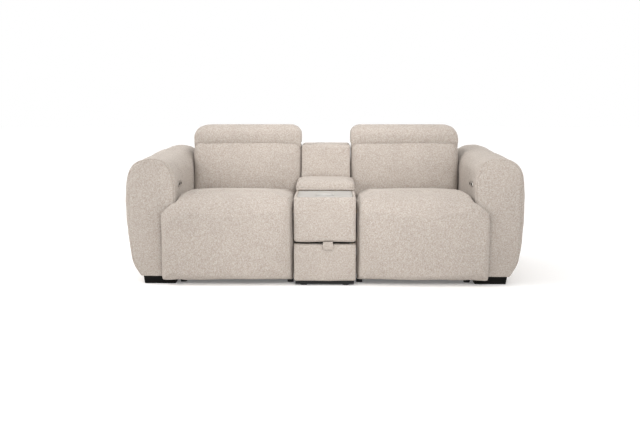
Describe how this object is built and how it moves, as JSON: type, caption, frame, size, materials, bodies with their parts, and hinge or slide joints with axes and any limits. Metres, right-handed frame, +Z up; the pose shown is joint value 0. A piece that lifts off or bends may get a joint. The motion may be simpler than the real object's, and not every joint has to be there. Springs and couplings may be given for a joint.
{
  "type": "reclining sofa with console",
  "caption": "Powered reclining loveseat in light beige boucle with a padded centre console that has a cup recess, a hinged storage lid and a drawer.",
  "frame": {"origin": "on the floor, in the middle of the footprint", "axes": "+X to the right as seen from the front, +Y from the front to the back, +Z up"},
  "size_m": [2.0588, 0.97, 0.795],
  "materials": {
    "upholstery": "light beige heathered boucle weave with a short nap",
    "plywood": "unfinished birch plywood, sanded, with visible ply lines on cut edges",
    "black_wood": "hardwood block stained black, satin",
    "black_steel": "black powder-coated pressed steel, satin",
    "black_plastic": "black moulded plastic, fine matte grain",
    "bright_steel": "zinc-plated steel, bright with a faint brushed grain",
    "satin_metal": "satin anodised aluminium",
    "tray_plastic": "light grey moulded plastic, smooth and slightly satin"
  },
  "bodies": {
    "frame": {"arm_left": "upholstery", "arm_frame_left": "plywood", "foot_front_left": "black_wood", "foot_rear_left": "black_wood", "control_plate_left": "satin_metal", "seat_pad_left": "upholstery", "seat_deck_left": "plywood", "mechanism_base_left": "black_steel", "actuator_motor_left": "black_plastic", "drawer_runner_left": "bright_steel", "arm_right": "upholstery", "arm_frame_right": "plywood", "foot_front_right": "black_wood", "foot_rear_right": "black_wood", "control_plate_right": "satin_metal", "seat_pad_right": "upholstery", "seat_deck_right": "plywood", "mechanism_base_right": "black_steel", "actuator_motor_right": "black_plastic", "drawer_runner_right": "bright_steel", "rear_rail": "plywood", "back_skirt": "upholstery", "console_carcass": "plywood", "console_plinth": "black_plastic", "console_cover": "upholstery", "console_tray": "tray_plastic", "cup_holder": "satin_metal", "storage_bin": "black_plastic", "console_back_pad": "upholstery", "lid_hinge": "bright_steel"},
    "legrest_left": {"legrest_pad_left": "upholstery", "legrest_frame_left": "black_steel"},
    "drive_left": {"drive_tube_left": "black_steel"},
    "push_left": {"push_link_left": "black_steel"},
    "rod_left": {"actuator_rod_left": "bright_steel"},
    "back_left": {"back_pad_left": "upholstery", "back_frame_left": "black_steel", "back_panel_left": "upholstery"},
    "headrest_left": {"headrest_pad_left": "upholstery", "headrest_bracket_left": "black_steel"},
    "button_front_left": {"button_front_left": "black_plastic"},
    "button_rear_left": {"button_rear_left": "black_plastic"},
    "legrest_right": {"legrest_pad_right": "upholstery", "legrest_frame_right": "black_steel"},
    "drive_right": {"drive_tube_right": "black_steel"},
    "push_right": {"push_link_right": "black_steel"},
    "rod_right": {"actuator_rod_right": "bright_steel"},
    "back_right": {"back_pad_right": "upholstery", "back_frame_right": "black_steel", "back_panel_right": "upholstery"},
    "headrest_right": {"headrest_pad_right": "upholstery", "headrest_bracket_right": "black_steel"},
    "button_front_right": {"button_front_right": "black_plastic"},
    "button_rear_right": {"button_rear_right": "black_plastic"},
    "lid": {"lid_pad": "upholstery", "lid_board": "plywood"},
    "drawer": {"drawer_front": "upholstery", "drawer_box": "plywood", "pull_tab": "upholstery"}
  },
  "joints": [
    {"name": "legrest_hinge_left", "type": "hinge", "parent": "frame", "child": "legrest_left", "pos_m": [-0.458, -0.45571, 0.44071], "axis": [-1, 0, 0], "range_deg": [0, 80]},
    {"name": "drive_hinge_left", "type": "hinge", "parent": "frame", "child": "drive_left", "pos_m": [-0.458, -0.275, 0.34], "axis": [-1, 0, 0], "range_deg": [0, 80]},
    {"name": "push_hinge_left", "type": "hinge", "parent": "drive_left", "child": "push_left", "pos_m": [-0.458, -0.19629, 0.12929], "axis": [-1, 0, 0], "range_deg": [-80, 0]},
    {"name": "rod_slide_left", "type": "slide", "parent": "frame", "child": "rod_left", "axis": [0, -1, 0], "range_m": [0, 0.0772]},
    {"name": "back_hinge_left", "type": "hinge", "parent": "frame", "child": "back_left", "pos_m": [-0.458, 0.125, 0.34], "axis": [-1, 0, 0], "range_deg": [0, 24]},
    {"name": "headrest_hinge_left", "type": "hinge", "parent": "back_left", "child": "headrest_left", "pos_m": [-0.458, 0.2, 0.697], "axis": [1, 0, 0], "range_deg": [0, 25]},
    {"name": "button_press_front_left", "type": "slide", "parent": "frame", "child": "button_front_left", "axis": [-1, 0, 0], "range_m": [0, 0.0015], "stiffness_N_per_m": 600},
    {"name": "button_press_rear_left", "type": "slide", "parent": "frame", "child": "button_rear_left", "axis": [-1, 0, 0], "range_m": [0, 0.0015], "stiffness_N_per_m": 600},
    {"name": "legrest_hinge_right", "type": "hinge", "parent": "frame", "child": "legrest_right", "pos_m": [0.458, -0.45571, 0.44071], "axis": [-1, 0, 0], "range_deg": [0, 80]},
    {"name": "drive_hinge_right", "type": "hinge", "parent": "frame", "child": "drive_right", "pos_m": [0.458, -0.275, 0.34], "axis": [-1, 0, 0], "range_deg": [0, 80]},
    {"name": "push_hinge_right", "type": "hinge", "parent": "drive_right", "child": "push_right", "pos_m": [0.458, -0.19629, 0.12929], "axis": [-1, 0, 0], "range_deg": [-80, 0]},
    {"name": "rod_slide_right", "type": "slide", "parent": "frame", "child": "rod_right", "axis": [0, -1, 0], "range_m": [0, 0.0772]},
    {"name": "back_hinge_right", "type": "hinge", "parent": "frame", "child": "back_right", "pos_m": [0.458, 0.125, 0.34], "axis": [-1, 0, 0], "range_deg": [0, 24]},
    {"name": "headrest_hinge_right", "type": "hinge", "parent": "back_right", "child": "headrest_right", "pos_m": [0.458, 0.2, 0.697], "axis": [1, 0, 0], "range_deg": [0, 25]},
    {"name": "button_press_front_right", "type": "slide", "parent": "frame", "child": "button_front_right", "axis": [1, 0, 0], "range_m": [0, 0.0015], "stiffness_N_per_m": 600},
    {"name": "button_press_rear_right", "type": "slide", "parent": "frame", "child": "button_rear_right", "axis": [1, 0, 0], "range_m": [0, 0.0015], "stiffness_N_per_m": 600},
    {"name": "lid_hinge_axis", "type": "hinge", "parent": "frame", "child": "lid", "pos_m": [0, 0.1, 0.4993], "axis": [-1, 0, 0], "range_deg": [0, 80]},
    {"name": "drawer_slide", "type": "slide", "parent": "frame", "child": "drawer", "axis": [0, -1, 0], "range_m": [0, 0.3]}
  ],
  "couplings": [
    {"joint": "drive_hinge_left", "follows": "legrest_hinge_left", "ratio": 1},
    {"joint": "push_hinge_left", "follows": "legrest_hinge_left", "ratio": -1},
    {"joint": "rod_slide_left", "follows": "legrest_hinge_left", "m_per_rad": 0.05524},
    {"joint": "back_hinge_left", "follows": "legrest_hinge_left", "ratio": 0.3},
    {"joint": "drive_hinge_right", "follows": "legrest_hinge_right", "ratio": 1},
    {"joint": "push_hinge_right", "follows": "legrest_hinge_right", "ratio": -1},
    {"joint": "rod_slide_right", "follows": "legrest_hinge_right", "m_per_rad": 0.05524},
    {"joint": "back_hinge_right", "follows": "legrest_hinge_right", "ratio": 0.3}
  ]
}
